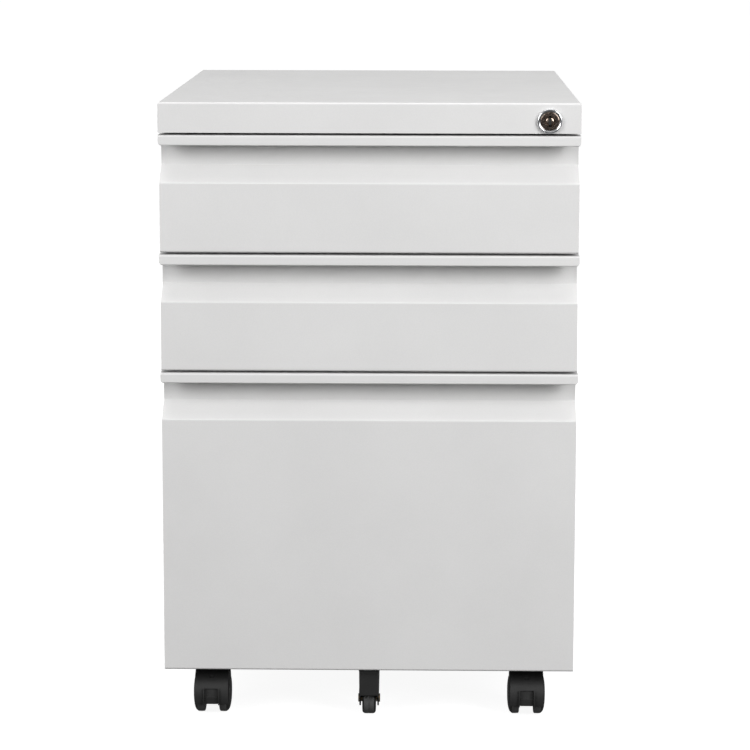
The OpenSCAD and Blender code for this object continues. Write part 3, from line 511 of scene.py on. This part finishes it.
def make_bracket():
    """A pressed bracket: a foot bent down through a wide shoulder into a plate, between two rounded ears."""
    low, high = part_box("fifth_bracket")
    axle = middle_of("fifth_axle")
    place = set_at(axle)
    top = (high.z - axle.z) / MM
    front, rear = (low.y - axle.y) / MM + 2, (high.y - axle.y) / MM
    sheet, shoulder, plate_foot, ear_r = 1.5, 5.0, 8.0, 7.5
    narrow, wide, foot_wide = 8.7, 9.4, 10.2

    def half_width(z):
        """Narrowest under the shoulder, spreading to the foot above it and a little to the ears below."""
        if z > top - shoulder:
            return narrow + (foot_wide - narrow) * (z - top + shoulder) / shoulder
        return narrow + (wide - narrow) * min(1, (top - shoulder - z) / (top - shoulder - plate_foot))

    path = [(rear, top), *arc((front + shoulder, top - shoulder), shoulder, 90, 180),
            *arc((front + 1.6, plate_foot + 1.4), 1.6, 180, 250, 4)]
    bm = bmesh.new()
    stations = []
    for i, (y, z) in enumerate(path):
        before, after = path[max(i - 1, 0)], path[min(i + 1, len(path) - 1)]
        along = Vector((after[0] - before[0], after[1] - before[1])).normalized()
        inward = Vector((along.y, -along.x)) * -sheet
        w = half_width(z)
        corners = [(-w, y, z), (w, y, z), (w, y + inward.x, z + inward.y), (-w, y + inward.x, z + inward.y)]
        stations.append([bm.verts.new(place @ Vector(c)) for c in corners])
    for first, second in zip(stations, stations[1:]):
        for k in range(4):
            after = (k + 1) % 4
            bm.faces.new((first[k], first[after], second[after], second[k]))
    bm.faces.new(stations[0])
    bm.faces.new(stations[-1])
    ear = [(front + shoulder * 0.3, top - shoulder * 0.3), (front + 0.2, top - shoulder),
           (front + 0.2, plate_foot), *arc((0, 0), ear_r, 170, 350, 14), (rear, top - 0.2)]
    for side in (-1, 1):
        def lean(point, side=side):
            return Vector((side * (half_width(point.z) - abs(point.x)), point.y, point.z))
        prism(bm, ear, 0.05, sheet, place, lean)
    bracket = new_piece("anti_tip_bracket", bm, "black_steel")
    break_edges(bracket, 0.2 * MM)
    stands_for(bracket, "file_drawer", "black_steel", "fifth_bracket")


def make_anti_tip_wheel():
    """A small moulded wheel with rounded corners and a fine parting groove."""
    low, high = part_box("fifth_wheel")
    place = set_at((low + high) / 2, TO_RIGHT)
    half, radius = (high.x - low.x) / 2 / MM, (high.z - low.z) / 2 / MM
    web, corner, groove = half - 0.7, 3.0, 0.4
    side = [(2.6, half - 0.1), (5.0, half), (5.4, web), (radius - 4.6, web), (radius - 4.2, half),
            *arc((radius - corner, half - corner), corner, 90, 0, 8)]
    other_side = [(r, -h) for r, h in reversed(side)]
    bm = bmesh.new()
    lathe(bm, [*side, (radius, groove), (radius - 0.25, 0), (radius, -groove), *other_side], place, WHEEL_STEPS)
    wheel = new_piece("anti_tip_wheel_moulding", bm, "black_tread")
    stands_for(wheel, "fifth_wheel", "black_tread", "fifth_wheel")


make_bracket()
make_anti_tip_wheel()


# ---- Camera ----

def make_camera():
    """In front of the cabinet, a little to its right, above the top and looking slightly down."""
    pitch, yaw, roll = (math.radians(angle) for angle in (9.011, -1.038, -0.081))
    forward = Vector((math.sin(yaw) * math.cos(pitch), math.cos(yaw) * math.cos(pitch), -math.sin(pitch)))
    level = Vector((math.cos(yaw), -math.sin(yaw), 0))
    below = forward.cross(level)
    right = math.cos(roll) * level + math.sin(roll) * below
    down = math.cos(roll) * below - math.sin(roll) * level
    data = bpy.data.cameras.new("camera")
    data.sensor_width = 36
    data.lens = 127.05
    data.shift_y = -0.06
    data.clip_end = 200
    camera = bpy.data.objects.new("camera", data)
    turn = Matrix((right, -down, -forward)).transposed().to_4x4()
    camera.matrix_world = Matrix.Translation((0.0497, -2.6824, 0.7645)) @ turn
    bpy.context.scene.collection.objects.link(camera)
    bpy.context.scene.camera = camera


make_camera()


# ---- Floor and light ----

def make_floor():
    """A pale light table: bright of itself, so that shadows on it stay faint, and it throws no light up."""
    mesh = bpy.data.meshes.new("floor")
    reach = 60
    corners = [(-reach, -reach, 0), (reach, -reach, 0), (reach, reach, 0), (-reach, reach, 0)]
    mesh.from_pydata(corners, [], [(0, 1, 2, 3)])
    floor = bpy.data.objects.new("floor", mesh)
    floor.visible_diffuse = False
    floor.visible_glossy = False
    bpy.context.scene.collection.objects.link(floor)
    paint = Graph("studio_floor", grey(0.3), 0.9, Specular_IOR_Level=0.1, Emission_Color=(1, 1, 1, 1),
                  Emission_Strength=0.9)
    paint.tint(paint.noise(0.6, 3), grey(0.295), grey(0.305))
    mesh.materials.append(paint.material)


def add_softbox(name, place, target, width, height, power):
    """A rectangular light of that many watts, aimed at the target."""
    data = bpy.data.lights.new(name, "AREA")
    data.shape = "RECTANGLE"
    data.size = width
    data.size_y = height
    data.energy = power
    light = bpy.data.objects.new(name, data)
    light.location = place
    aim = Vector(target) - Vector(place)
    light.rotation_euler = aim.to_track_quat("-Z", "Y").to_euler()
    bpy.context.scene.collection.objects.link(light)
    return light


def make_sky(above, below):
    """An even studio dome, dimmer under the horizon."""
    world = bpy.data.worlds.new("studio")
    world.use_nodes = True
    tree = world.node_tree
    axes = tree.nodes.new("ShaderNodeSeparateXYZ")
    tree.links.new(tree.nodes.new("ShaderNodeTexCoord").outputs["Generated"], axes.inputs["Vector"])
    spread = tree.nodes.new("ShaderNodeMapRange")
    spread.interpolation_type = "SMOOTHSTEP"
    for socket, number in (("From Min", -0.1), ("From Max", 0.1), ("To Min", below), ("To Max", above)):
        spread.inputs[socket].default_value = number
    tree.links.new(axes.outputs["Z"], spread.inputs["Value"])
    backdrop = tree.nodes["Background"]
    backdrop.inputs["Color"].default_value = (1, 1, 1, 1)
    tree.links.new(spread.outputs["Result"], backdrop.inputs["Strength"])
    bpy.context.scene.world = world


def make_light():
    """Tall boxes left and right of the camera, the right one stronger, a low one behind, one overhead."""
    make_sky(0.367, 0.12)
    front = (0, -0.25, 0.36)
    for name, side, power in (("left_box", -1, 31.0), ("right_box", 1, 45.5)):
        add_softbox(name, (side * 1.6, -1.8, 1.37), front, 1.0, 1.4, power)
    rear_box = add_softbox("rear_box", (0.4, 2.6, 0.32), (0, 0.25, 0.3), 1.8, 0.5, 24.0)
    rear_box.visible_glossy = False
    add_softbox("overhead", (0, 0.3, 2.8), (0, 0, 0.59), 2.0, 2.0, 23.9)


make_floor()
make_light()
bpy.context.scene.view_settings.view_transform = "Standard"
